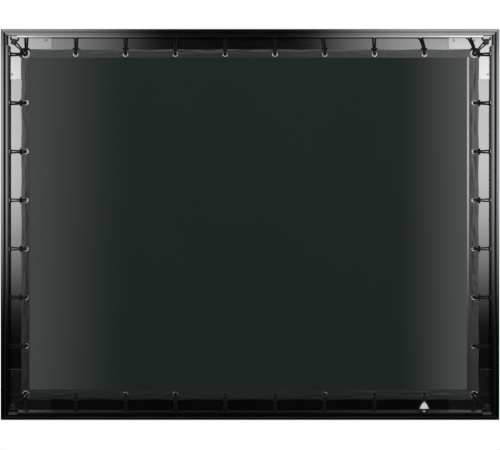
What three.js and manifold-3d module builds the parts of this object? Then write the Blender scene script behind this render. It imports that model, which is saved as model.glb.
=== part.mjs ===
// A fixed frame projector screen: four mitred aluminium rails, corner brackets, a white
// sheet with a hem and eyelets, and rubber rings that stretch the sheet from the rails.
// Millimetres, +Z up. The audience looks along +Y at the white front; the wall is at y = 0.

import * as THREE from 'three';
import { mergeVertices } from 'three/addons/utils/BufferGeometryUtils.js';
import Module from 'manifold-3d';

const wasm = await Module();
wasm.setup();

// Overall sizes
const imageWidth = 1016;
const imageHeight = 762;
const faceWidth = 80;
const frameDepth = 34;
const bevelDrop = 8.5;
const seatGap = 0.3;

// Rail section: widths are insets from the outer edge, depths are from the wall plane
const skin = 1.8;
const web = 1.5;
const outerLip = 6.4;
const grooveWidth = 5.6;
const grooveDepth = 9.5;
const rimWidth = 19;
const rimSlopeWidth = 3;
const rimSlopeDrop = 0.2;
const pocketPlay = 2.65;
const pocketLip = 1.4;
const ridgeWidth = 6;
const ridgeSlope = 1;
const nosePlate = 2.2;
const frontRadius = 1.5;
const notchLength = 38;

// Corner brackets and their set screws
const bracketThickness = 3;
const bracketInset = 46;
const bracketReach = 118;
const screwInset = 25;
const screwRadius = 2.5;
const screwProud = 0.8;
const screwEndMargin = 12.5;
const screwPitch = 48;
const screwSides = 10;
const socketRadius = 1.5;
const socketDepth = 2;
const socketSides = 6;

// Sheet, hem and eyelets
const filmThickness = 0.5;
const hemThickness = 1.6;
const hemWidthTop = 20;
const hemWidthRight = 19.5;
const hemWidthBottom = 24;
const hemWidthLeft = 28;
const hemInset = 46.5;
const sheetDepth = 16.8;
const hemBorder = 1.4;
const eyeletRim = 2.8;
const eyeletThickness = 2.6;
const eyeletsAcross = 10;
const eyeletsUp = 8;
const eyeletSides = 8;

// Rubber rings and the pegs that hold them
const ringRadius = 1.6;
const ringSides = 5;
const pegRadius = 1.1;
const pegInset = 12.4;
const pegSides = 6;
const strandOffset = 1;
const clipWidth = 7;
const clipTab = 1.6;
const clipTabTop = 5;

// Corner hooks
const hookInset = 28.5;
const hookWidth = 12;
const hookHeight = 13;
const hookProngSpread = 9;
const hookProngWidth = 3.5;
const hookBase = 2.9;
const hookHead = 1.9;
const hookTaper = 1;

// The one metal hook plate, at the bottom rail
const plateHookWidth = 22;
const plateHookLength = 20.5;
const plateHookNear = 12.5;
const plateHookThickness = 1.5;
const plateHookTip = 1.6;
const plateHookSink = 0.35;
const plateHookTongue = 7;
const plateHookLap = 3;

// Sizes that follow
const overallWidth = imageWidth + 2 * faceWidth;
const overallHeight = imageHeight + 2 * faceWidth;
const pocketTop = grooveDepth + web;
const ringPlane = pocketTop + pocketPlay + ringRadius;
const pocketFloor = ringPlane + ringRadius + pocketPlay;
const footTop = pocketFloor + web;
const plateTop = footTop + bracketThickness + 2 * seatGap;
const plateBottom = plateTop + web;
const strand = ringRadius + seatGap;
const cornerStrandOffset = strand + (ringRadius + strand) * Math.SQRT1_2;
const eyeletBore = Math.hypot(strand, strandOffset) + strand;
const cornerEyeletBore = Math.hypot(strand, cornerStrandOffset) + strand;
const eyeletToCorner = 1 / Math.cos(Math.PI / eyeletSides);
const eyeletMargin = (cornerEyeletBore + eyeletRim) * eyeletToCorner + hemBorder;
const eyeletInset = hemInset + eyeletMargin;
const knotHalfWidth = 3 * strand;
const ringBend = pegRadius + strand;
const rearRun = sheetDepth - eyeletThickness / 2 - strand;
const frontRun = sheetDepth + eyeletThickness / 2 + strand;
const crossRun = rearRun - 2 * ringRadius - seatGap;
const bracketRear = footTop + seatGap;
const hookBaseTop = pocketFloor - seatGap - hookBase;
const hookRingPlane = hookBaseTop - strand;
const hookHeadTop = hookRingPlane - strand - hookHead;
const plateHookFar = plateHookNear + plateHookLength;

// The four sides, clockwise from the top as the audience sees them
const sides = [
  {
    name: 'top',
    turn: 0,
    length: overallWidth,
    reach: overallHeight / 2,
    eyelets: eyeletsAcross,
    corners: ['top_left', 'top_right'],
  },
  {
    name: 'right',
    turn: Math.PI / 2,
    length: overallHeight,
    reach: overallWidth / 2,
    eyelets: eyeletsUp,
    corners: ['top_right', 'bottom_right'],
  },
  {
    name: 'bottom',
    turn: Math.PI,
    length: overallWidth,
    reach: overallHeight / 2,
    eyelets: eyeletsAcross,
    corners: ['bottom_right', 'bottom_left'],
  },
  {
    name: 'left',
    turn: -Math.PI / 2,
    length: overallHeight,
    reach: overallWidth / 2,
    eyelets: eyeletsUp,
    corners: ['bottom_left', 'top_left'],
  },
];

// Rings whose pegs were set a little to one side, the hook that sits a little turned, in
// degrees, and the ring that holds the metal plate
const ringLeans = { ring_top_1: 10, ring_top_3: 5, ring_top_left_upright: 14 };
const hookTurns = { corner_hook_top_right: -11 };
const plateRing = 'ring_bottom_8';

// Finishes, as the photograph shows them
const finishes = {
  rail: new THREE.MeshStandardMaterial({ color: 0x0d0d0e, roughness: 0.28, metalness: 0.6 }),
  bracket: new THREE.MeshStandardMaterial({ color: 0xd8d9da, roughness: 0.3, metalness: 1 }),
  sheet: new THREE.MeshStandardMaterial({ color: 0x2b302f, roughness: 0.45, metalness: 0 }),
  rubber: new THREE.MeshStandardMaterial({ color: 0x0a0a0a, roughness: 0.6, metalness: 0 }),
  hook: new THREE.MeshStandardMaterial({ color: 0x2c2c2e, roughness: 0.5, metalness: 0 }),
  steel: new THREE.MeshStandardMaterial({ color: 0xe4e4e2, roughness: 0.25, metalness: 1 }),
};

// A closed three.js geometry as a solid that can be joined and cut, faces turned outward
function solid(geometry) {
  const bare = new THREE.BufferGeometry();
  bare.setAttribute('position', geometry.getAttribute('position'));
  if (geometry.index) bare.setIndex(geometry.index);
  const merged = mergeVertices(bare, 1e-4);
  const vertProperties = new Float32Array(merged.getAttribute('position').array);
  const triVerts = new Uint32Array(merged.index.array);
  const corners = [new THREE.Vector3(), new THREE.Vector3(), new THREE.Vector3()];
  const kept = [];
  let volume = 0;
  for (let i = 0; i < triVerts.length; i += 3) {
    const [a, b, c] = triVerts.slice(i, i + 3);
    if (a === b || b === c || c === a) continue;
    [a, b, c].forEach((index, n) => corners[n].fromArray(vertProperties, 3 * index));
    volume += corners[0].dot(corners[1].cross(corners[2]));
    kept.push(a, b, c);
  }
  if (volume < 0) kept.reverse();
  return new wasm.Manifold(new wasm.Mesh({
    numProp: 3,
    vertProperties,
    triVerts: new Uint32Array(kept),
  }));
}

function joined(first, ...others) {
  return others.reduce((sum, other) => sum.add(other), first);
}

function geometryOf(body) {
  const { vertProperties, triVerts, numProp } = body.getMesh();
  const positions = new Float32Array((vertProperties.length / numProp) * 3);
  for (let i = 0; i < positions.length / 3; i += 1) {
    positions.set(vertProperties.subarray(i * numProp, i * numProp + 3), i * 3);
  }
  const geometry = new THREE.BufferGeometry();
  geometry.setAttribute('position', new THREE.BufferAttribute(positions, 3));
  geometry.setIndex(new THREE.BufferAttribute(new Uint32Array(triVerts), 1));
  geometry.computeVertexNormals();
  return geometry;
}

function piece(name, body, finish) {
  const mesh = new THREE.Mesh(geometryOf(body), finishes[finish]);
  mesh.name = name;
  return mesh;
}

// Boxes and round pegs are given by their limits along each axis
function block(x, y, z) {
  const geometry = new THREE.BoxGeometry(x[1] - x[0], y[1] - y[0], z[1] - z[0]);
  geometry.translate((x[0] + x[1]) / 2, (y[0] + y[1]) / 2, (z[0] + z[1]) / 2);
  return solid(geometry);
}

function peg(x, z, radius, y, sides) {
  const geometry = new THREE.CylinderGeometry(radius, radius, y[1] - y[0], sides);
  geometry.translate(x, (y[0] + y[1]) / 2, z);
  return solid(geometry);
}

// A flat outline in the frame's plane, given as [x, z] corners, between two depths
function slab(outline, depths) {
  const shape = new THREE.Shape(outline.map(([x, z]) => new THREE.Vector2(x, z)));
  const geometry = new THREE.ExtrudeGeometry(shape, {
    depth: depths[1] - depths[0],
    bevelEnabled: false,
  });
  geometry.rotateX(Math.PI / 2);
  geometry.translate(0, -depths[0], 0);
  return solid(geometry);
}

// A section given as [depth, inset] corners runs along X with its outer edge at z = reach.
// Both ends are mitred, each past the frame's diagonal by the overrun
function mitred(outline, length, reach, overrun) {
  const section = new THREE.Shape(outline.map(([v, u]) => new THREE.Vector2(v, u)));
  const geometry = new THREE.ExtrudeGeometry(section, { depth: 1, bevelEnabled: false });
  const position = geometry.getAttribute('position');
  for (let i = 0; i < position.count; i += 1) {
    const depth = position.getX(i);
    const inset = position.getY(i);
    const end = position.getZ(i) < 0.5 ? -1 : 1;
    position.setXYZ(i, end * (length / 2 - inset + overrun), -depth, reach - inset);
  }
  return solid(geometry);
}

// The rail is an extrusion: a rim with a hanging groove at the wall, a pocket for the ring
// clips and a slot for the brackets inside it, a flat plate, and a ridge under the sheet. It
// has two hollow chambers, open at the mitred ends. At both ends the rim is notched back to
// the groove's wall, which bares the corner bracket
function railBlank(length, reach) {
  const bevelRun = faceWidth - frontRadius;
  const frontDepth = (inset) => frameDepth - (bevelDrop * (inset - frontRadius)) / bevelRun;
  const ridgeTop = sheetDepth + filmThickness / 2 + seatGap;
  const ridgeFoot = faceWidth - ridgeWidth;
  const grooveEnd = outerLip + grooveWidth;
  const outline = [
    [0, 0],
    [0, outerLip],
    [skin, outerLip],
    [skin, skin],
    [grooveDepth, skin],
    [grooveDepth, grooveEnd],
    [0, grooveEnd],
    [0, rimWidth - rimSlopeWidth],
    [rimSlopeDrop, rimWidth],
    [pocketTop + pocketLip, rimWidth],
    [pocketTop + pocketLip, rimWidth - web],
    [pocketTop, rimWidth - web],
    [pocketTop, skin],
    [pocketFloor, skin],
    [pocketFloor, rimWidth],
    [footTop, rimWidth],
    [footTop, skin],
    [plateTop, skin],
    [plateTop, ridgeFoot],
    [ridgeTop, ridgeFoot + ridgeSlope],
    [ridgeTop, faceWidth - ridgeSlope],
    [ridgeTop + ridgeSlope, faceWidth],
    [frontDepth(faceWidth), faceWidth],
    [frameDepth, frontRadius],
    [frameDepth - frontRadius, 0],
  ];
  const chamberRise = frameDepth - skin - plateBottom - nosePlate / 2;
  const chamberEnd = (chamberRise * bevelRun) / bevelDrop;
  const rimChamber = [
    [skin, grooveEnd + web],
    [grooveDepth, grooveEnd + web],
    [grooveDepth, rimWidth - web],
    [skin, rimWidth - web],
  ];
  const faceChamber = [
    [plateBottom, skin],
    [frontDepth(skin) - skin, skin],
    [frontDepth(chamberEnd) - skin, chamberEnd],
    [plateBottom, chamberEnd],
  ];
  let blank = mitred(outline, length, reach, (-seatGap / 2) * Math.SQRT2)
    .subtract(mitred(rimChamber, length, reach, 1))
    .subtract(mitred(faceChamber, length, reach, 1));
  const wall = grooveEnd + web;
  const past = rimWidth + web;
  const slotMiddle = (footTop + plateTop) / 2;
  for (const across of [[-length / 2, notchLength - length / 2],
    [length / 2 - notchLength, length / 2]]) {
    const rimNotch = block(across, [-slotMiddle, web], [reach - past, reach - wall]);
    const floor = [-slotMiddle, -pocketTop - pocketLip];
    const floorNotch = block(across, floor, [reach - past, reach - skin]);
    blank = blank.subtract(rimNotch).subtract(floorNotch);
  }
  return blank;
}

// A ring clip is pressed into the rail's pocket: a peg, a roof arm and a small front tab
function ringClip(x, reach) {
  const half = clipWidth / 2;
  const arm = block(
    [x - half, x + half],
    [-pocketTop - web, -pocketTop + web / 2],
    [reach - rimWidth - clipTab, reach - pegInset + pegRadius],
  );
  const tab = block(
    [x - half, x + half],
    [-pocketTop - web, -clipTabTop],
    [reach - rimWidth - clipTab, reach - rimWidth + web / 2],
  );
  const pin = peg(
    x,
    reach - pegInset,
    pegRadius,
    [-pocketFloor - web / 2, -pocketTop],
    pegSides,
  );
  return joined(arm, tab, pin);
}

// A closed tube whose steps fall on the chosen points
class RingPath extends THREE.CatmullRomCurve3 {
  getPointAt(u, target) {
    return this.getPoint(u, target);
  }

  getTangentAt(u, target) {
    return this.getTangent(u, target);
  }
}

// Half of a ring's run, from its peg to its far end, is mirrored into the whole ring. Each
// point is the distance across the strands, the distance from the eyelet, the depth, and how
// far the ring leans along the rail there
function ringBody(half, place) {
  const other = half.slice(1, -1).reverse().map(([s, w, v, lean]) => [-s, w, v, lean]);
  const points = [...half, ...other].map(([s, w, v, lean]) => place(s + lean, w, v));
  const path = new RingPath(points, true, 'centripetal');
  return solid(new THREE.TubeGeometry(path, points.length, ringRadius, ringSides, true));
}

function pegEnd(reach, plane, lean) {
  const diagonal = ringBend * Math.SQRT1_2;
  return [
    [0, reach + ringBend, plane, lean],
    [diagonal, reach + diagonal, plane, lean],
    [ringBend, reach, plane, lean],
  ];
}

// The end that lies round the metal plate's base
function plateEnd() {
  const side = plateHookWidth / 2 + strand;
  const across = plateHookFar + strand + seatGap;
  return [
    [0, across, ringPlane, 0],
    [side - strand, across, ringPlane, 0],
    [side + seatGap, plateHookFar + strand / 2, ringPlane, 0],
    [side, plateHookFar - ringRadius / 2, ringPlane, 0],
    [0.66 * side, 0.64 * plateHookFar, (ringPlane + rearRun) / 2, 0],
  ];
}

// A ring is knotted through its eyelet: in from behind, out in front, back round the edge of
// the hem and across its own two strands
function knot(offset) {
  const edge = eyeletMargin + strand;
  const turn = ringRadius / 2;
  return [
    [strand, edge + ringRadius, rearRun, 0],
    [strand, offset + turn, rearRun, 0],
    [strand, offset, sheetDepth, 0],
    [strand, offset + turn, frontRun, 0],
    [knotHalfWidth - turn, edge - 3 * turn, frontRun, 0],
    [knotHalfWidth, edge - turn / 2, frontRun - turn, 0],
    [knotHalfWidth, edge, sheetDepth, 0],
    [knotHalfWidth, edge - turn / 2, rearRun - strand, 0],
    [knotHalfWidth / 2, edge - turn, crossRun, 0],
    [0, edge - turn, crossRun - seatGap, 0],
  ];
}

// The diagonal ring lies over the other two knots and drops through the corner eyelet
function diagonalRun(reach) {
  const over = crossRun - 2 * strand;
  const edge = eyeletMargin + strand;
  const past = -ringRadius / 2;
  return [
    ...pegEnd(reach, hookRingPlane, 0),
    [ringBend, (reach + 1.45 * edge) / 2, hookRingPlane, 0],
    [strand, 1.45 * edge, over, 0],
    [strand, 0.98 * edge, over, 0],
    [strand, 0.52 * edge, 0.6 * over + 0.4 * rearRun, 0],
    [strand, 0.145 * edge, rearRun - ringRadius, 0],
    [strand, past, sheetDepth - ringRadius / 2, 0],
    [strand, past, sheetDepth + ringRadius, 0],
    [0, past, frontRun, 0],
  ];
}

function sideRing(name, x, reach, run) {
  const place = (s, w, v) => new THREE.Vector3(x + s, -v, reach - eyeletInset + w);
  return piece(name, ringBody(run, place), 'rubber');
}

// The diagonal ring of the corner that lies at one end of the top or bottom side
function diagonalRing(name, x, reach, end) {
  const step = Math.SQRT1_2;
  const place = (s, w, v) => new THREE.Vector3(
    x + end * step * (w + s),
    -v,
    reach - eyeletInset + step * (w - s),
  );
  const run = diagonalRun((eyeletInset - hookInset) * Math.SQRT2);
  return piece(name, ringBody(run, place), 'rubber');
}

// An L-shaped plate lies in the foot slots of two rails, held by four set screws
function cornerBracket(name, x, z) {
  const near = skin + seatGap;
  const outline = [
    [near, near],
    [bracketReach, near],
    [bracketReach, bracketInset],
    [bracketInset, bracketInset],
    [bracketInset, bracketReach],
    [near, bracketReach],
  ].map(([a, b]) => [x + a, z - b]);
  const depths = [bracketRear, bracketRear + bracketThickness];
  const screwEnd = bracketReach - screwEndMargin;
  let body = slab(outline, depths);
  for (const along of [screwEnd, screwEnd - screwPitch]) {
    for (const [a, b] of [[along, screwInset], [screwInset, along]]) {
      const top = bracketRear - screwProud;
      const tip = bracketRear + bracketThickness / 2;
      const screw = peg(x + a, z - b, screwRadius, [-tip, -top], screwSides);
      const socket = peg(x + a, z - b, socketRadius, [-top - socketDepth, 0], socketSides);
      body = body.add(screw).subtract(socket);
    }
  }
  return piece(name, body, 'bracket');
}

// The hook's two prongs reach into the rail's pocket, and its foot stands on the bracket
function cornerHook(name, x, reach) {
  const half = hookWidth / 2;
  const inner = hookProngSpread - hookProngWidth / 2;
  const outer = hookProngSpread + hookProngWidth / 2;
  const near = hookInset - hookHeight / 2;
  const far = hookInset + hookHeight / 2;
  const tip = rimWidth - web;
  const outline = [
    [-outer, tip],
    [-inner, tip],
    [-inner, near],
    [inner, near],
    [inner, tip],
    [outer, tip],
    [outer, near + hookTaper],
    [half, hookInset - hookTaper],
    [half - hookTaper, far],
    [hookTaper - half, far],
    [-half, hookInset - hookTaper],
    [-outer, near + hookTaper],
  ].map(([a, b]) => [x + a, reach - b]);
  const headOutline = [
    [hookTaper - half, near],
    [half - hookTaper, near],
    [half, far - hookTaper],
    [-half, far - hookTaper],
  ].map(([a, b]) => [x + a, reach - b]);
  const base = slab(outline, [hookBaseTop, hookBaseTop + hookBase]);
  const head = slab(headOutline, [hookHeadTop, hookHeadTop + hookHead]);
  const pin = peg(
    x,
    reach - hookInset,
    pegRadius,
    [-hookBaseTop - hookBase / 2, -hookHeadTop - hookHead / 2],
    pegSides,
  );
  const foot = block(
    [x - half + hookTaper, x + half - hookTaper],
    [-bracketRear + seatGap, -hookBaseTop - hookBase / 2],
    [reach - far, reach - near - hookTaper],
  );
  const middle = [x, 0, reach - hookInset];
  const body = joined(base, head, pin, foot)
    .translate(middle.map((value) => -value))
    .rotate([0, hookTurns[name] ?? 0, 0])
    .translate(middle);
  return piece(name, body, 'hook');
}

// A bare metal plate inside one ring: its tongue goes under the ring into the rail's pocket
function metalHookPlate(name, x, reach) {
  const at = (w) => reach - eyeletInset + w;
  const top = ringPlane + plateHookSink;
  const half = plateHookTongue / 2;
  const tongueDepth = [pocketFloor - seatGap - plateHookThickness, pocketFloor - seatGap];
  const mouth = eyeletInset - rimWidth;
  const lipNear = mouth + web + seatGap;
  const face = slab([
    [x - plateHookTip / 2, at(plateHookNear)],
    [x + plateHookTip / 2, at(plateHookNear)],
    [x + plateHookWidth / 2, at(plateHookFar)],
    [x - plateHookWidth / 2, at(plateHookFar)],
  ], [top, top + plateHookThickness]);
  const across = [x - half, x + half];
  const lap = plateHookFar - plateHookLap;
  const step = block(across, [-tongueDepth[1], -top], [at(lap), at(plateHookFar)]);
  const tongue = block(
    across,
    [-tongueDepth[1], -tongueDepth[0]],
    [at(lap), at(lipNear + plateHookThickness)],
  );
  const lip = block(
    across,
    [-tongueDepth[1], -pocketTop - seatGap],
    [at(lipNear), at(lipNear + plateHookThickness)],
  );
  return piece(name, joined(face, step, tongue, lip), 'steel');
}

// The places of the eyelets along a side, corner eyelets at both ends
function eyeletPlaces(side) {
  const span = side.length - 2 * eyeletInset;
  const pitch = span / (side.eyelets - 1);
  return Array.from({ length: side.eyelets }, (_, i) => i * pitch - span / 2);
}

function eyelet(x, z, bore) {
  const half = eyeletThickness / 2;
  const profile = [
    [bore, -half],
    [bore + eyeletRim, -half],
    [bore + eyeletRim, half],
    [bore, half],
    [bore, -half],
  ].map(([r, y]) => new THREE.Vector2(r * eyeletToCorner, y));
  const geometry = new THREE.LatheGeometry(profile, eyeletSides);
  geometry.translate(x, -sheetDepth, z);
  return solid(geometry);
}

// The sheet is a thin film with a folded hem all round and metal eyelets pressed through it.
// A layer's sides lie at a share of the hem's width in from the sheet's edge
function sheet(name) {
  const width = overallWidth - 2 * hemInset;
  const height = overallHeight - 2 * hemInset;
  const layer = (share, thickness) => block(
    [share * hemWidthLeft - width / 2, width / 2 - share * hemWidthRight],
    [-sheetDepth - thickness / 2, -sheetDepth + thickness / 2],
    [share * hemWidthBottom - height / 2, height / 2 - share * hemWidthTop],
  );
  const hem = layer(0, hemThickness).subtract(layer(1, 2 * hemThickness));
  let body = hem.add(layer(1 / 2, filmThickness));
  for (const side of sides) {
    // Each side's last eyelet is the next side's first
    eyeletPlaces(side).slice(0, -1).forEach((along, i) => {
      const bore = i === 0 ? cornerEyeletBore : eyeletBore;
      const { x, z } = new THREE.Vector3(along, 0, side.reach - eyeletInset)
        .applyAxisAngle(new THREE.Vector3(0, 1, 0), side.turn);
      const depths = [-sheetDepth - hemThickness, -sheetDepth + hemThickness];
      const hole = peg(x, z, bore + eyeletRim / 2, depths, eyeletSides);
      body = body.subtract(hole).add(eyelet(x, z, bore));
    });
  }
  return piece(name, body, 'sheet');
}

// A side's own pieces lie in a frame with X along the rail and Z outward, which is then turned
// about Y. Rings and corners are numbered clockwise, as the audience sees them
function sideGroup(side) {
  const group = new THREE.Group();
  const clips = [];
  const level = side.name === 'left' || side.name === 'right';
  const last = side.eyelets - 1;
  eyeletPlaces(side).forEach((x, i) => {
    const corner = i === 0 || i === last;
    const cornerName = side.corners[i === 0 ? 0 : 1];
    const direction = level ? 'level' : 'upright';
    const name = corner ? `ring_${cornerName}_${direction}` : `ring_${side.name}_${i}`;
    const end = knot(corner ? cornerStrandOffset : strandOffset);
    if (name === plateRing) {
      group.add(sideRing(name, x, side.reach, [...plateEnd(), ...end]));
      group.add(metalHookPlate('metal_hook_plate', x, side.reach));
      return;
    }
    const lean = ringLeans[name] ?? 0;
    const run = [...pegEnd(eyeletInset - pegInset, ringPlane, lean), ...end];
    group.add(sideRing(name, x, side.reach, run));
    clips.push(ringClip(x + lean, side.reach));
  });
  const body = joined(railBlank(side.length, side.reach), ...clips);
  group.add(piece(`rail_${side.name}`, body, 'rail'));
  group.add(cornerBracket(`corner_bracket_${side.corners[0]}`, -side.length / 2, side.reach));
  if (!level) {
    for (const end of [-1, 1]) {
      const corner = side.corners[end < 0 ? 0 : 1];
      const at = (inset) => end * (side.length / 2 - inset);
      group.add(cornerHook(`corner_hook_${corner}`, at(hookInset), side.reach));
      group.add(diagonalRing(`ring_${corner}_diagonal`, at(eyeletInset), side.reach, end));
    }
  }
  group.rotation.y = side.turn;
  return group;
}

function build() {
  const screen = new THREE.Group();
  for (const side of sides) screen.add(sideGroup(side));
  screen.add(sheet('projection_sheet'));
  screen.position.z = outerLip / 2 - overallHeight / 2;
  return screen;
}

export default build();
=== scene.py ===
import math

import bmesh
import bpy
from mathutils import Matrix, Vector, noise


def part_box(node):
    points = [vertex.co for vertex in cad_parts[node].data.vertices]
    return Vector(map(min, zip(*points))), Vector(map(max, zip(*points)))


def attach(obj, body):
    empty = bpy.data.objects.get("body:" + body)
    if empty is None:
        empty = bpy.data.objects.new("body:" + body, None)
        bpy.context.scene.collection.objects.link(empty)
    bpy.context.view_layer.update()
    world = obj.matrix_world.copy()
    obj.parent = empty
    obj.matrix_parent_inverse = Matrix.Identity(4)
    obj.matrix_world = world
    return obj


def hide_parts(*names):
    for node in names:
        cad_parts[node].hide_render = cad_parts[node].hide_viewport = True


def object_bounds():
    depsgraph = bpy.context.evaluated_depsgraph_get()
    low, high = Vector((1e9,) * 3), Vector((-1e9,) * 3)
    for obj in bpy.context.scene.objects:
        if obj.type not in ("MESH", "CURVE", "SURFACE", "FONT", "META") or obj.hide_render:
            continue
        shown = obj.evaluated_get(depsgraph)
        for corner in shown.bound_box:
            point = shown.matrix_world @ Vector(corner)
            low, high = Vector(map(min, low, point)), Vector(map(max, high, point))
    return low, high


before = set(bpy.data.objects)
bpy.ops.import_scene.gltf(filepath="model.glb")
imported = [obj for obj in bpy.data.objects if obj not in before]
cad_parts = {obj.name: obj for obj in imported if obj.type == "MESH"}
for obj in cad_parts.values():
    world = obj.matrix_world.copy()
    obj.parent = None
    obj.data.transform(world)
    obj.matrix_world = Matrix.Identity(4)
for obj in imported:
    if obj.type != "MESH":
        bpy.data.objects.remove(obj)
cad_low, cad_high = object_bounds()


# Rails. Four lengths of extruded aluminium, anodised black and mitred at the corners. Their
# back is satin. The uprights' rims and hanging grooves are painted darker as painted shade, the
# grooves also rougher, and the rims' sloping edges at the top and the bottom paler as a painted
# highlight. The front is flocked with black velvet
class Wire:
    """A node's output, which can stand in a sum as a number does."""

    def __init__(self, finish, socket):
        self.finish = finish
        self.socket = socket

    def math(self, operation, *values):
        return self.finish.node("Math", {"operation": operation}, dict(enumerate(values)))

    def __add__(self, other):
        return self.math("ADD", self, other)

    def __sub__(self, other):
        return self.math("SUBTRACT", self, other)

    def __rsub__(self, other):
        return self.math("SUBTRACT", other, self)

    def __mul__(self, other):
        return self.math("MULTIPLY", self, other)

    __radd__ = __add__
    __rmul__ = __mul__


class Finish:
    """The shader of a material or of the world, built node by node."""

    def __init__(self, owner):
        owner.use_nodes = True
        self.owner = owner
        self.tree = owner.node_tree
        self.tree.nodes.clear()

    def node(self, kind, settings=(), sockets=(), output=0):
        """Adds a node, sets it, fills or links its sockets and gives one of its outputs."""
        made = self.tree.nodes.new("ShaderNode" + kind)
        for name, value in dict(settings).items():
            setattr(made, name, value)
        for name, value in dict(sockets).items():
            if isinstance(value, Wire):
                self.tree.links.new(value.socket, made.inputs[name])
            else:
                made.inputs[name].default_value = value
        return Wire(self, made.outputs[output]) if made.outputs else None

    def place(self):
        return self.node("TexCoord", output="Object")

    def grain(self, pitch, detail=2.0):
        """Noise with so many features to the metre along x, y and z."""
        spread = self.node("VectorMath", {"operation": "MULTIPLY"}, {0: self.place(), 1: pitch})
        return self.node("TexNoise", sockets={"Vector": spread, "Scale": 1.0, "Detail": detail})

    def blend(self, share, first, second):
        return self.node("Mix", {"data_type": "RGBA"}, {0: share, 6: first, 7: second}, output=2)

    def bump(self, height, depth):
        return self.node("Bump", sockets={"Height": height, "Distance": depth})

    def ramp(self, value, low, high):
        """Rises smoothly from 0 to 1 as the value goes from low to high."""
        span = {"Value": value, "From Min": low, "From Max": high}
        return self.node("MapRange", {"interpolation_type": "SMOOTHSTEP"}, span)

    def surface(self, **sockets):
        named = {name.replace("_", " "): value for name, value in sockets.items()}
        shader = self.node("BsdfPrincipled", sockets=named)
        self.node("OutputMaterial", sockets={"Surface": shader})
        return self.owner


def finish(name):
    return Finish(bpy.data.materials.new(name))


def grey(shade):
    """A grey that is a trace bluer than neutral."""
    return (shade, shade, 1.012 * shade, 1)


def anodised(name, along, shade):
    """Anodised black with the fine lines of the die along the rail."""
    black = finish(name)
    lines = black.grain([9 if axis == along else 1300 for axis in "xyz"], detail=3)
    haze = black.grain([11, 11, 11])
    return black.surface(
        Base_Color=black.blend(haze, grey(0.91 * shade), grey(1.09 * shade)),
        Metallic=1.0,
        Roughness=0.065 + 0.03 * lines + 0.02 * haze,
        Normal=black.bump(lines, 0.00001),
    )


def painted_groove_shade():
    """The hanging groove of the uprights, painted dark as painted shade, and rougher."""
    groove_shade = finish("groove_painted_shade")
    scale = groove_shade.grain([60, 60, 60])
    return groove_shade.surface(
        Base_Color=groove_shade.blend(scale, (0.03, 0.03, 0.031, 1), (0.06, 0.06, 0.062, 1)),
        Metallic=1.0,
        Roughness=0.35 + 0.1 * scale,
    )


def velvet():
    flock = finish("black_velvet")
    pile = flock.grain([2600, 2600, 2600], detail=1)
    nap = flock.grain([16, 16, 16])
    return flock.surface(
        Base_Color=flock.blend(nap, (0.004, 0.004, 0.004, 1), (0.009, 0.009, 0.009, 1)),
        Roughness=0.96,
        Sheen_Weight=0.12,
        Sheen_Roughness=0.5,
        Normal=flock.bump(pile, 0.0003),
    )


def eased(piece, width):
    """Breaks a part's sharp edges by a small round, as tumbling or a die would."""
    weld = piece.modifiers.new("weld", "WELD")
    weld.merge_threshold = 0.00001
    round_edge = piece.modifiers.new("eased_edges", "BEVEL")
    round_edge.width = width
    round_edge.segments = 2
    round_edge.limit_method = "ANGLE"
    round_edge.angle_limit = math.radians(30)
    round_edge.use_clamp_overlap = True


satin_shade = 0.285
# The uprights' rims get a darker copy of the anodising as painted shade; the top and bottom rims'
# sloping edges get a paler copy as a painted highlight
painted_rim_shade = 0.165
painted_edge_highlight = 0.5
front_slope = -0.6
front_depth = 0.024
groove_depth = 0.0095
groove_inset = 0.0125
rim_facing = 0.9
rim_depth = 0.0003
rim_slope = 0.05
tolerance = 0.0001
edge_round = 0.0004
face_velvet = velvet()
# The uprights' grooves are painted dark as painted shade
groove_painted_dark = painted_groove_shade()
for side, along in (("top", "x"), ("right", "z"), ("bottom", "x"), ("left", "z")):
    upright = along == "z"
    satin = anodised(f"black_anodising_{side}", along, satin_shade)
    # A darker rim for the uprights is painted shade, a paler one for the top and bottom a painted
    # highlight
    if upright:
        rim = anodised(f"rim_painted_shade_{side}", along, painted_rim_shade)
    else:
        rim = anodised(f"edge_painted_highlight_{side}", along, painted_edge_highlight)
    coats = [satin, face_velvet, groove_painted_dark, rim]
    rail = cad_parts[f"rail_{side}"]
    rail.data.materials.clear()
    for coat in coats:
        rail.data.materials.append(coat)
    for face in rail.data.polygons:
        middle = face.center
        inset = cad_high.x - abs(middle.x)
        in_groove = -groove_depth - tolerance < middle.y < -tolerance and 0 < inset < groove_inset
        on_rim = face.normal.y > rim_facing and middle.y > -rim_depth
        if face.normal.y < front_slope and middle.y < -front_depth:
            face.material_index = coats.index(face_velvet)
        elif upright and in_groove:
            face.material_index = coats.index(groove_painted_dark)
        elif on_rim and (upright or abs(face.normal.z) > rim_slope):
            face.material_index = coats.index(rim)
    eased(rail, edge_round)


# Corner brackets. An L cut from 3 mm aluminium sheet lies in the foot slots of two rails at
# each corner, and four black set screws with hexagon sockets, turned down on the slots' lips,
# lock it there
plate_near = 0.0021
plate_reach = 0.118
plate_width = 0.046
plate_thickness = 0.003
plate_rear = -0.0213
screw_inset = 0.025
screw_places = (0.1055, 0.0575)
screw_radius = 0.0025
screw_proud = 0.0008
screw_chamfer = 0.0003
socket_across = 0.0026
socket_depth = 0.0018


def bare_aluminium():
    metal = finish("bare_aluminium")
    brushed = metal.grain([1500, 60, 240], detail=4)
    smudge = metal.grain([26, 26, 26], detail=3)
    return metal.surface(
        Base_Color=metal.blend(smudge, (0.4042, 0.4042, 0.4085, 1), (0.47, 0.47, 0.475, 1)),
        Metallic=1.0,
        Roughness=0.07 + 0.04 * brushed + 0.04 * smudge,
        Normal=metal.bump(brushed, 0.00002),
    )


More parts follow.
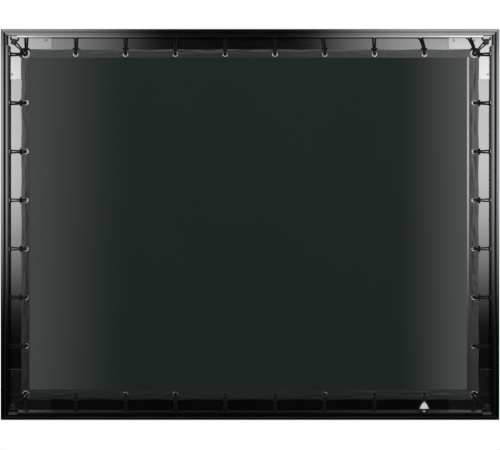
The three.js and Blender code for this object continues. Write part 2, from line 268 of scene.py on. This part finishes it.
def black_oxide():
    oxide = finish("black_oxide")
    bloom = oxide.grain([700, 700, 700])
    return oxide.surface(
        Base_Color=oxide.blend(bloom, (0.02, 0.02, 0.022, 1), (0.05, 0.05, 0.052, 1)),
        Metallic=0.7,
        Roughness=0.35 + 0.15 * bloom,
    )


def added(name, mesh, material):
    """A new piece that rides with the frame and takes its finish from one slot."""
    piece = bpy.data.objects.new(name, mesh)
    bpy.context.scene.collection.objects.link(piece)
    mesh.materials.append(material)
    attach(piece, "root")
    return piece


def meshed(shape, name):
    """Turns a finished shape into a mesh and lets the shape go."""
    mesh = bpy.data.meshes.new(name)
    shape.to_mesh(mesh)
    shape.free()
    return mesh


def cut_plate(name, outline):
    """A bracket's plate, its outline given as [x, z] corners."""
    shape = bmesh.new()
    shape.faces.new([shape.verts.new((x, plate_rear, z)) for x, z in outline])
    grown = bmesh.ops.extrude_face_region(shape, geom=shape.faces[:])["geom"]
    moved = [part for part in grown if isinstance(part, bmesh.types.BMVert)]
    bmesh.ops.translate(shape, verts=moved, vec=(0, -plate_thickness, 0))
    bmesh.ops.recalc_face_normals(shape, faces=shape.faces[:])
    return meshed(shape, name)


def lofted(name, rings):
    """Skins rings of as many points each and caps both ends."""
    shape = bmesh.new()
    rows = [[shape.verts.new(point) for point in ring] for ring in rings]
    shape.faces.new(rows[0])
    shape.faces.new(rows[-1])
    for below, above in zip(rows, rows[1:]):
        for i in range(len(below)):
            shape.faces.new((below[i - 1], below[i], above[i], above[i - 1]))
    bmesh.ops.recalc_face_normals(shape, faces=shape.faces[:])
    return meshed(shape, name)


def set_screw(name, x, z):
    """A round screw end with a chamfer and a hexagon socket, looking out of the back."""
    steps = 36
    turn = [2 * math.pi * i / steps for i in range(steps)]
    sixth = math.pi / 3
    hexagon = [socket_across / 2 / math.cos(a % sixth - sixth / 2) for a in turn]
    proud = plate_rear + screw_proud
    levels = (
        ([screw_radius] * steps, plate_rear - plate_thickness / 2),
        ([screw_radius] * steps, proud - screw_chamfer),
        ([screw_radius - screw_chamfer] * steps, proud),
        ([r + screw_chamfer / 2 for r in hexagon], proud),
        (hexagon, proud - screw_chamfer / 2),
        (hexagon, proud - socket_depth),
        ([r / 4 for r in hexagon], proud - 1.2 * socket_depth),
    )
    rings = [
        [(x + r * math.cos(a), depth, z + r * math.sin(a)) for r, a in zip(radii, turn)]
        for radii, depth in levels
    ]
    return lofted(name, rings)


bracket_metal = bare_aluminium()
screw_metal = black_oxide()
# Each corner's x and z, and the signs that lead from it into the frame
corners = {
    "top_left": (cad_low.x, cad_high.z, 1, -1),
    "top_right": (cad_high.x, cad_high.z, -1, -1),
    "bottom_right": (cad_high.x, cad_low.z, -1, 1),
    "bottom_left": (cad_low.x, cad_low.z, 1, 1),
}
for corner, (corner_x, corner_z, inward_x, inward_z) in corners.items():
    outline = [
        (plate_near, plate_near),
        (plate_reach, plate_near),
        (plate_reach, plate_width),
        (plate_width, plate_width),
        (plate_width, plate_reach),
        (plate_near, plate_reach),
    ]
    outline = [(corner_x + inward_x * a, corner_z + inward_z * b) for a, b in outline]
    name = f"corner_plate_{corner}"
    bracket = added(name, cut_plate(name, outline), bracket_metal)
    eased(bracket, edge_round)
    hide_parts(f"corner_bracket_{corner}")
    spots = [(along, screw_inset) for along in screw_places]
    spots += [(screw_inset, along) for along in screw_places]
    for number, (a, b) in enumerate(spots, start=1):
        name = f"set_screw_{corner}_{number}"
        screw = set_screw(name, corner_x + inward_x * a, corner_z + inward_z * b)
        added(name, screw, screw_metal)


# Corner hooks. A moulded nylon block stands on each bracket, its two prongs reaching into the
# rail's pocket, and the head on its pin keeps the diagonal ring from slipping off
def moulded():
    nylon = finish("dark_grey_nylon")
    texture = nylon.grain([1800, 1800, 1800], detail=3)
    tone = nylon.grain([180, 180, 180])
    return nylon.surface(
        Base_Color=nylon.blend(tone, grey(0.006), grey(0.013)),
        Roughness=0.26 + 0.14 * texture,
        Normal=nylon.bump(texture, 0.00008),
    )


hook_nylon = moulded()
for corner in corners:
    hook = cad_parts[f"corner_hook_{corner}"]
    hook.data.materials.clear()
    hook.data.materials.append(hook_nylon)
    eased(hook, edge_round)


# Sheet. A vinyl film, matte white in front and black behind so that no light shines through
# it. Its edge is folded back and welded into a hem, wider on some sides than on others, which
# the rings' pull draws into slight scallops and puckers
film_front = -0.01705
film_thickness = 0.0005
hem_widths = {"top": 0.020, "right": 0.0195, "bottom": 0.024, "left": 0.028}
hem_layer = 0.0006
hem_lift = 0.0001
hem_rows = 18
welded_side = "left"
weld_rows = 3
weld_share = weld_rows / hem_rows
# How strong each side's puckers are, and which slice of the noise they come from
puckers = {"top": (1.0, 21), "right": (1.2, 35), "bottom": (0.9, 42), "left": (1.6, 28)}
flat_at_edge = 0.004
flat_at_seam = 0.010
fold_length = 0.045
fold_width = 0.007
fold_height = 0.00035
crease_size = 0.012
crease_height = 0.00012
pucker_bias = 0.6
scallop = 0.0012
pull_reach = 0.025
# How far to the right and to the left of the middle the vinyl's painted sheen of the side lights
# starts and ends, where its colour is painted paler
painted_light_right = (0.27, 0.63)
painted_light_left = (0.34, 0.6)
level_eyelets = 10
upright_eyelets = 8
eyelet_bore = 0.00405
corner_bore = 0.00667
eyelet_rim = 0.0028
eyelet_margin = 0.01165
sheet_low, sheet_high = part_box("projection_sheet")
sheet_width = sheet_high.x - sheet_low.x
sheet_height = sheet_high.z - sheet_low.z
sheet_middle = (sheet_low.z + sheet_high.z) / 2
frame_width = cad_high.x - cad_low.x
frame_height = cad_high.z - cad_low.z
frame_edge = (frame_width - sheet_width) / 2
eyelet_inset = frame_edge + eyelet_margin
# Each side's turn, its length, its distance from the frame's middle and its count of eyelets
sides = (
    ("top", 0, frame_width, frame_height / 2, level_eyelets),
    ("right", 90, frame_height, frame_width / 2, upright_eyelets),
    ("bottom", 180, frame_width, frame_height / 2, level_eyelets),
    ("left", 270, frame_height, frame_width / 2, upright_eyelets),
)


def eyelet_places(length, count):
    """Where a side's eyelets are along it, measured from its middle."""
    span = length - 2 * eyelet_inset
    return [span * i / (count - 1) - span / 2 for i in range(count)]


def turned(degrees):
    """From a side's own frame, its x along the rail and z outward, to the whole screen."""
    middle = Matrix.Translation((0, 0, sheet_middle))
    return middle @ Matrix.Rotation(math.radians(degrees), 4, "Y")


def pulled(x, z):
    """A point of the flat sheet after the rings' pull: its edge hangs back between eyelets."""
    moved = []
    for own, other, size, across, count in (
        (x, z, sheet_width, sheet_height, upright_eyelets),
        (z, x, sheet_height, sheet_width, level_eyelets),
    ):
        pitch = (across - 2 * eyelet_margin) / (count - 1)
        near_edge = max(0.0, 1 - (size / 2 - abs(own)) / pull_reach)
        phase = (other + across / 2 - eyelet_margin) / pitch
        slack = 0.5 - 0.5 * math.cos(2 * math.pi * phase)
        if not 0 < phase < count - 1:
            slack = 0.0
        moved.append(own - math.copysign(scallop * slack * near_edge, own))
    return moved


def black_vinyl(name, dark, light, rough, gloss, painted_sheen):
    """Vinyl with a leather grain, painted paler towards its right and its left side as painted
    sheen of the side lights.
    """
    vinyl = finish(name)
    leather = vinyl.grain([900, 900, 900], detail=4)
    tone = vinyl.grain([5, 5, 5], detail=1)
    colour = vinyl.blend(tone, dark, light)
    across = vinyl.node("SeparateXYZ", sockets={"Vector": vinyl.place()}, output="X")
    right = vinyl.ramp(across, *painted_light_right)
    left = vinyl.ramp(-1 * across, *painted_light_left)
    # Painted light: the colour is mixed towards white near both sides, standing in for the side
    # soft boxes' sheen
    colour = vinyl.blend(painted_sheen[0] * right + painted_sheen[1] * left, colour, (1, 1, 1, 1))
    return vinyl.surface(
        Base_Color=colour,
        Roughness=rough + 0.08 * leather,
        Specular_IOR_Level=gloss,
        Normal=vinyl.bump(leather, 0.00003),
    )


def pressed_weld():
    """The seam of the widest hem, pressed flat and shiny by the hot bar."""
    weld = finish("pressed_weld")
    ripple = weld.grain([300, 300, 60])
    return weld.surface(
        Base_Color=weld.blend(ripple, (0.012, 0.013, 0.013, 1), (0.022, 0.023, 0.023, 1)),
        Roughness=0.12 + 0.08 * ripple,
        IOR=2.2,
        Specular_IOR_Level=1.0,
    )


def matte_white():
    white = finish("matte_white_vinyl")
    coat = white.grain([2400, 2400, 2400], detail=2)
    return white.surface(
        Base_Color=white.blend(coat, (0.83, 0.83, 0.825, 1), (0.87, 0.87, 0.865, 1)),
        Roughness=0.8 + 0.1 * coat,
        Specular_IOR_Level=0.3,
        Normal=white.bump(coat, 0.00005),
    )


def settled(piece):
    """Turns a piece's modifiers into its mesh."""
    seen = piece.evaluated_get(bpy.context.evaluated_depsgraph_get())
    mesh = bpy.data.meshes.new_from_object(seen)
    piece.modifiers.clear()
    piece.data = mesh


def thickened(piece, thickness, front_slot=0):
    solid = piece.modifiers.new("thickness", "SOLIDIFY")
    solid.thickness = thickness
    solid.offset = -1
    solid.material_offset = front_slot
    solid.material_offset_rim = front_slot


def punched(piece, punch):
    """Cuts the eyelets' holes through a piece and settles it."""
    holes = piece.modifiers.new("eyelet_holes", "BOOLEAN")
    holes.operation = "DIFFERENCE"
    holes.solver = "EXACT"
    holes.object = punch
    settled(piece)


def eyelet_spots():
    """Each eyelet's x, z and bore. A side's last eyelet is the next side's first."""
    spots = []
    for _, turn, length, reach, count in sides:
        for i, along in enumerate(eyelet_places(length, count)[:-1]):
            spot = turned(turn) @ Vector((along, 0, reach - eyelet_inset))
            spots.append((spot.x, spot.z, corner_bore if i == 0 else eyelet_bore))
    return spots


def hole_punch():
    """The round bars that punch all the eyelets' holes."""
    bar_length = 0.02
    shape = bmesh.new()
    for x, z, bore in eyelet_spots():
        at = Matrix.Translation((x, film_front, z)) @ Matrix.Rotation(math.pi / 2, 4, "X")
        bmesh.ops.create_cone(
            shape,
            cap_ends=True,
            segments=32,
            radius1=bore + eyelet_rim / 2,
            radius2=bore + eyelet_rim / 2,
            depth=bar_length,
            matrix=at,
        )
    punch = bpy.data.objects.new("hole_punch", meshed(shape, "hole_punch"))
    bpy.context.scene.collection.objects.link(punch)
    return punch


def film_mesh():
    """The film's back face, a grid that is finer than the scallops."""
    cell = 0.008
    across = round(sheet_width / cell)
    up = round(sheet_height / cell)
    shape = bmesh.new()
    rows = []
    for j in range(up + 1):
        row = []
        for i in range(across + 1):
            x, z = pulled((i / across - 0.5) * sheet_width, (j / up - 0.5) * sheet_height)
            row.append(shape.verts.new((x, film_front + film_thickness, sheet_middle + z)))
        rows.append(row)
    for below, above in zip(rows, rows[1:]):
        for i in range(across):
            shape.faces.new((below[i], above[i], above[i + 1], below[i + 1]))
    return meshed(shape, "screen_film")


def pucker(side, along, inset):
    """How far the hem stands up from the film, along a side and at a distance from its edge."""
    strength, seed = puckers[side]
    pressed = weld_share if side == welded_side else 0
    to_seam = max(0.0, hem_widths[side] * (1 - pressed) - inset)
    loose = min(1.0, inset / flat_at_edge, to_seam / flat_at_seam)
    fold = noise.noise(Vector((along / fold_length, inset / fold_width, seed)))
    crease = noise.noise(Vector((along / crease_size, inset / crease_size, seed + 0.5)))
    height = fold_height * (fold + pucker_bias) + crease_height * (crease + pucker_bias)
    return max(0.0, strength * loose * height)


def hem_mesh():
    """Four strips of folded vinyl that meet on the mitres, each as wide as its side's hem."""
    column = 0.0035
    fade = 0.03
    mitre_join = 0.0002
    rear = film_front + film_thickness + hem_lift + hem_layer
    shape = bmesh.new()
    for number, (side, turn, length, reach, _) in enumerate(sides):
        outer = reach - frame_edge
        ends = (frame_edge - length / 2, length / 2 - frame_edge)
        beside = [hem_widths[sides[number - 1][0]], -hem_widths[sides[(number + 1) % 4][0]]]
        columns = round((ends[1] - ends[0]) / column)
        grid = []
        for j in range(hem_rows + 1):
            inset = hem_widths[side] * j / hem_rows
            first, last = (end + width * j / hem_rows for end, width in zip(ends, beside))
            line = []
            for i in range(columns + 1):
                along = first + (last - first) * i / columns
                flat = turned(turn) @ Vector((along, 0, outer - inset))
                x, z = pulled(flat.x, flat.z - sheet_middle)
                to_mitre = min(1.0, (along - first) / fade, (last - along) / fade)
                lift = pucker(side, along, inset) * to_mitre
                line.append(shape.verts.new((x, rear + lift, sheet_middle + z)))
            grid.append(line)
        for j, (near, far) in enumerate(zip(grid, grid[1:])):
            pressed = side == welded_side and j >= hem_rows - weld_rows
            for i in range(columns):
                face = shape.faces.new((near[i], near[i + 1], far[i + 1], far[i]))
                face.material_index = 1 if pressed else 0
    bmesh.ops.remove_doubles(shape, verts=shape.verts[:], dist=mitre_join)
    bmesh.ops.recalc_face_normals(shape, faces=shape.faces[:])
    shape.faces.ensure_lookup_table()
    if shape.faces[0].normal.y < 0:
        bmesh.ops.reverse_faces(shape, faces=shape.faces[:])
    return meshed(shape, "sheet_hem")


def smooth(piece):
    for face in piece.data.polygons:
        face.use_smooth = True


punch = hole_punch()
film = added(
    "screen_film",
    film_mesh(),
    black_vinyl(
        "black_vinyl",
        (0.008, 0.0155, 0.013, 1),
        (0.0095, 0.0175, 0.015, 1),
        rough=0.5,
        gloss=0.16,
        # The film's back is painted paler towards both sides, as painted sheen
        painted_sheen=(0.056, 0.082),
    ),
)
film.data.materials.append(matte_white())
thickened(film, film_thickness, front_slot=1)
punched(film, punch)
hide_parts("projection_sheet")
hem = added(
    "sheet_hem",
    hem_mesh(),
    black_vinyl(
        "hem_vinyl",
        (0.009, 0.0105, 0.01, 1),
        (0.013, 0.015, 0.0145, 1),
        rough=0.22,
        gloss=0.9,
        # The hem is painted paler towards negative x, as painted sheen
        painted_sheen=(0, 0.016),
    ),
)
hem.data.materials.append(pressed_weld())
smooth(hem)
thickened(hem, hem_layer)
punched(hem, punch)
hem.data.set_sharp_from_angle(angle=math.radians(30))
bpy.data.objects.remove(punch)


# Eyelets. Nickel-plated brass rings, rolled over the hem from both sides. The four at the
# corners are larger, because three rings share each of them
eyelet_half = 0.00115
eyelet_roll = 0.00045


def nickel():
    plating = finish("nickel_plating")
    wear = plating.grain([320, 320, 320], detail=3)
    return plating.surface(
        Base_Color=plating.blend(wear, (0.55, 0.545, 0.53, 1), (0.72, 0.71, 0.695, 1)),
        Metallic=1.0,
        Roughness=0.2 + 0.1 * wear,
    )


def eyelet_section(bore):
    """An eyelet's section as [radius, depth] points, over its inner roll and down the outer."""
    level = eyelet_half - eyelet_roll
    rear = []
    for centre, out in ((bore + eyelet_roll, -1), (bore + eyelet_rim - eyelet_roll, 1)):
        for lift in (0, math.pi / 4, math.pi / 2)[::-out]:
            r = centre + out * eyelet_roll * math.cos(lift)
            rear.append((r, level + eyelet_roll * math.sin(lift)))
    return rear + [(r, -depth) for r, depth in reversed(rear)]


def eyelet_mesh():
    steps = 40
    shape = bmesh.new()
    for x, z, bore in eyelet_spots():
        section = eyelet_section(bore)
        rows = []
        for i in range(steps):
            turn = 2 * math.pi * i / steps
            rows.append([
                shape.verts.new((
                    x + r * math.cos(turn),
                    film_front + film_thickness / 2 + depth,
                    z + r * math.sin(turn),
                ))
                for r, depth in section
            ])
        for row, following in zip(rows, rows[1:] + rows[:1]):
            for i in range(len(row)):
                shape.faces.new((row[i - 1], row[i], following[i], following[i - 1]))
    bmesh.ops.recalc_face_normals(shape, faces=shape.faces[:])
    return meshed(shape, "eyelets")


eyelets = added("eyelets", eyelet_mesh(), nickel())
smooth(eyelets)


# Rubber rings. Moulded black rubber rings, about 3 mm thick, are knotted through the eyelets
# and stretched over the pegs of the rail's clips. Three of them meet at each corner eyelet, and
# the diagonal one lies on top and goes over the corner hook
strand_radius = 0.0016
clearance = 0.0003
peg_radius = 0.0011
peg_inset = 0.0124
ring_plane = 0.01525
strand_offset = 0.001
eyelet_thickness = 0.0026
hook_inset = 0.0285
hook_ring_plane = 0.0144
plate_hook_width = 0.022
plate_hook_far = 0.033
sheet_depth = -film_front - film_thickness / 2
strand = strand_radius + clearance
bend = peg_radius + strand
rear_run = sheet_depth - eyelet_thickness / 2 - strand
front_run = sheet_depth + eyelet_thickness / 2 + strand
cross_run = rear_run - 2 * strand_radius - clearance
corner_offset = strand + (strand_radius + strand) * math.sqrt(0.5)
# These rings lean, because their pegs sit further along the rail than their eyelets
leaning = {"ring_top_1": 0.010, "ring_top_3": 0.005, "ring_top_left_upright": 0.014}
plate_ring = "ring_bottom_8"
end_corners = {
    "top": ("top_left", "top_right"),
    "right": ("top_right", "bottom_right"),
    "bottom": ("bottom_right", "bottom_left"),
    "left": ("bottom_left", "top_left"),
}


def rubber():
    black = finish("black_rubber")
    skin = black.grain([1400, 1400, 1400], detail=3)
    bloom = black.grain([90, 90, 90])
    return black.surface(
        Base_Color=black.blend(bloom, (0.004, 0.004, 0.004, 1), (0.01, 0.01, 0.01, 1)),
        Roughness=0.5 + 0.15 * skin,
        Specular_IOR_Level=0.4,
        Normal=black.bump(skin, 0.00006),
    )


def peg_end(reach, plane, lean):
    """The end round a peg. Points are: across, away from the eyelet, depth, lean."""
    diagonal = bend * math.sqrt(0.5)
    return [
        (0, reach + bend, plane, lean),
        (diagonal, reach + diagonal, plane, lean),
        (bend, reach, plane, lean),
    ]


def plate_end():
    """The end that lies round the base of the metal plate."""
    side = plate_hook_width / 2 + strand
    across = plate_hook_far + strand + clearance
    return [
        (0, across, ring_plane, 0),
        (side - strand, across, ring_plane, 0),
        (side + clearance, plate_hook_far + strand / 2, ring_plane, 0),
        (side, plate_hook_far - strand_radius / 2, ring_plane, 0),
        (0.66 * side, 0.64 * plate_hook_far, (ring_plane + rear_run) / 2, 0),
    ]


def knot(offset):
    """In through the eyelet, out in front, back round the hem and across its own strands."""
    edge = eyelet_margin + strand
    turn = strand_radius / 2
    wide = 3 * strand
    return [
        (strand, edge + strand_radius, rear_run, 0),
        (strand, offset + turn, rear_run, 0),
        (strand, offset, sheet_depth, 0),
        (strand, offset + turn, front_run, 0),
        (wide - turn, edge - 3 * turn, front_run, 0),
        (wide, edge - turn / 2, front_run - turn, 0),
        (wide, edge, sheet_depth, 0),
        (wide, edge - turn / 2, rear_run - strand, 0),
        (wide / 2, edge - turn, cross_run, 0),
        (0, edge - turn, cross_run - clearance, 0),
    ]


def diagonal_run(reach):
    """The diagonal ring goes over both other knots and drops through the corner eyelet."""
    over = cross_run - 2 * strand
    edge = eyelet_margin + strand
    past = -strand_radius / 2
    return [
        *peg_end(reach, hook_ring_plane, 0),
        (bend, (reach + 1.45 * edge) / 2, hook_ring_plane, 0),
        (strand, 1.45 * edge, over, 0),
        (strand, 0.98 * edge, over, 0),
        (strand, 0.52 * edge, 0.6 * over + 0.4 * rear_run, 0),
        (strand, 0.145 * edge, rear_run - strand_radius, 0),
        (strand, past, sheet_depth - strand_radius / 2, 0),
        (strand, past, sheet_depth + strand_radius, 0),
        (0, past, front_run, 0),
    ]


def rubber_ring(node, half, place):
    """Mirrors half of a ring's run and makes the whole ring as a round closed strand."""
    other = [(-s, w, v, lean) for s, w, v, lean in half[-2:0:-1]]
    points = [place @ Vector((s + lean, -v, w)) for s, w, v, lean in half + other]
    path = bpy.data.curves.new(f"rubber_{node}", "CURVE")
    path.dimensions = "3D"
    path.bevel_depth = strand_radius
    path.bevel_resolution = 3
    path.resolution_u = 5
    line = path.splines.new("BEZIER")
    line.bezier_points.add(len(points) - 1)
    line.use_cyclic_u = True
    for bead, point in zip(line.bezier_points, points):
        bead.co = point
        bead.handle_left_type = "AUTO"
        bead.handle_right_type = "AUTO"
    ring = added(f"rubber_{node}", path, ring_rubber)
    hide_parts(node)
    return ring


ring_rubber = rubber()
for side, turn, length, reach, count in sides:
    upright = side in ("left", "right")
    for i, along in enumerate(eyelet_places(length, count)):
        at_end = i in (0, count - 1)
        corner = end_corners[side][0 if i == 0 else 1]
        node = f"ring_{side}_{i}"
        if at_end:
            node = f"ring_{corner}_level" if upright else f"ring_{corner}_upright"
        if node == plate_ring:
            start = plate_end()
        else:
            start = peg_end(eyelet_inset - peg_inset, ring_plane, leaning.get(node, 0))
        run = start + knot(corner_offset if at_end else strand_offset)
        place = turned(turn) @ Matrix.Translation((along, 0, reach - eyelet_inset))
        rubber_ring(node, run, place)
        if at_end and not upright:
            run = diagonal_run((eyelet_inset - hook_inset) * math.sqrt(2))
            tilt = Matrix.Rotation(math.radians(45 if i else -45), 4, "Y")
            rubber_ring(f"ring_{corner}_diagonal", run, place @ tilt)


# Metal plate. One plate of zinc-plated steel lies in the last ring of the bottom rail, with its
# tongue hooked into the rail's pocket, as the tool that the rings are stretched with
def zinc():
    plating = finish("dull_zinc_plating")
    spangle = plating.grain([160, 160, 160], detail=3)
    return plating.surface(
        Base_Color=plating.blend(spangle, (0.78, 0.78, 0.77, 1), (0.98, 0.98, 0.97, 1)),
        Metallic=0.15,
        Roughness=0.35 + 0.15 * spangle,
        Normal=plating.bump(spangle, 0.00002),
    )


plate_round = 0.0003
hook_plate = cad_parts["metal_hook_plate"]
hook_plate.data.materials.clear()
hook_plate.data.materials.append(zinc())
eased(hook_plate, plate_round)


# Studio. A white background, a pale floor below the hung screen, and soft boxes that face its
# back from the left, the right and above. The black metal mirrors them, and their shine falls
# off towards the middle and the floor
floor_drop = 0.35
floor_radius = 1.3
floor_fade = (0.55 * floor_radius, 0.97 * floor_radius)


def pale_floor():
    paint = finish("pale_floor")
    radius = paint.node("VectorMath", {"operation": "LENGTH"}, {0: paint.place()}, output="Value")
    mottle = paint.grain([3, 3, 3])
    colour = paint.blend(mottle, (0.84, 0.84, 0.84, 1), (0.88, 0.88, 0.88, 1))
    ground = paint.node("BsdfDiffuse", sockets={"Color": colour})
    clear = paint.node("BsdfTransparent")
    away = paint.ramp(radius, *floor_fade)
    mixed = paint.node("MixShader", sockets={0: away, 1: ground, 2: clear})
    paint.node("OutputMaterial", sockets={"Surface": mixed})
    return paint.owner


ground = bmesh.new()
bmesh.ops.create_circle(ground, cap_ends=True, segments=96, radius=floor_radius)
floor = bpy.data.objects.new("floor", meshed(ground, "floor"))
floor.location = (0, 0, cad_low.z - floor_drop)
floor.data.materials.append(pale_floor())
floor.visible_glossy = False
bpy.context.scene.collection.objects.link(floor)


def soft_box(name, depth, low, high, radiance, fades):
    """An upright soft box between two [x, z] corners, facing the screen's back, whose shine
    falls off towards its edges. The fades are those at its low x, high x, low z and high z."""
    width, height = high[0] - low[0], high[1] - low[1]
    lamp = bpy.data.lights.new(name, "AREA")
    lamp.shape = "RECTANGLE"
    lamp.size, lamp.size_y = width, height
    lamp.energy = radiance * math.pi * width * height
    glow = Finish(lamp)
    spot = glow.node("NewGeometry", output="Parametric")
    across, down = (
        glow.node("SeparateXYZ", sockets={"Vector": spot}, output=axis) for axis in "XY"
    )
    shine = 1.0
    for part, size, near, far in zip(
        (across, 1 - down), (width, height), fades[::2], fades[1::2]
    ):
        if near:
            shine = shine * glow.ramp(part, 0, near / size)
        if far:
            shine = shine * glow.ramp(1 - part, 0, far / size)
    light = glow.node("Emission", sockets={"Color": (1, 1, 1, 1), "Strength": shine})
    glow.node("OutputLight", sockets={"Surface": light})
    box = bpy.data.objects.new(name, lamp)
    box.location = ((low[0] + high[0]) / 2, depth, (low[1] + high[1]) / 2)
    box.rotation_euler = (math.radians(-90), 0, 0)
    box.visible_camera = False
    bpy.context.scene.collection.objects.link(box)


soft_box("soft_box_left", 2.58, (0.77, -0.81), (2.4, 0.22), 1.1, (0.06, 0, 0.57, 0.08))
soft_box("soft_box_left_inner", 2.6, (0.32, -0.81), (2.4, 1.1), 0.85, (0.48, 0, 0.57, 0))
soft_box("soft_box_right", 2.58, (-2.4, -0.83), (-0.6, 0.22), 0.9, (0, 0.2, 0.64, 0.08))
soft_box("soft_box_right_inner", 2.6, (-2.4, -0.83), (-0.17, 1.1), 1.1, (0, 0.52, 0.64, 0))
soft_box("soft_box_top", 2.62, (-0.8, 0.5), (0.9, 1.5), 1.4, (0.3, 0.3, 0.15, 0))

ambient = 0.75
dark_room = 0.004
white_until = -0.35
dark_from = 0.05
sky = Finish(bpy.data.worlds.new("studio"))
bpy.context.scene.world = sky.owner
seen, glossy, through = (
    sky.node("LightPath", output=f"Is {ray} Ray") for ray in ("Camera", "Glossy", "Transmission")
)
mirrored = glossy + through
direction = sky.node("TexCoord", output="Generated")
behind = sky.node("SeparateXYZ", sockets={"Vector": direction}, output="Y")
backdrop = dark_room + (1 - dark_room) * (1 - sky.ramp(behind, white_until, dark_from))
strength = seen + mirrored * backdrop + (1 - seen - mirrored) * ambient
background = sky.node("Background", sockets={"Color": (1, 1, 1, 1), "Strength": strength})
sky.node("OutputWorld", sockets={"Surface": background})

image_width = 500
millimetres_per_pixel = 2.358
camera_distance = 4.8
image_middle = 225
frame_centre_row = 224.5
camera_data = bpy.data.cameras.new("camera")
camera_data.sensor_width = 36
seen_width = image_width * millimetres_per_pixel / 1000
camera_data.lens = camera_data.sensor_width * camera_distance / seen_width
camera = bpy.data.objects.new("camera", camera_data)
row_drop = (image_middle - frame_centre_row) * millimetres_per_pixel / 1000
frame_middle = (cad_low.z + cad_high.z) / 2
camera.location = (0, camera_distance, frame_middle - row_drop)
camera.rotation_euler = (math.radians(90), 0, math.radians(180))
bpy.context.scene.collection.objects.link(camera)
bpy.context.scene.camera = camera
bpy.context.scene.view_settings.view_transform = "Standard"
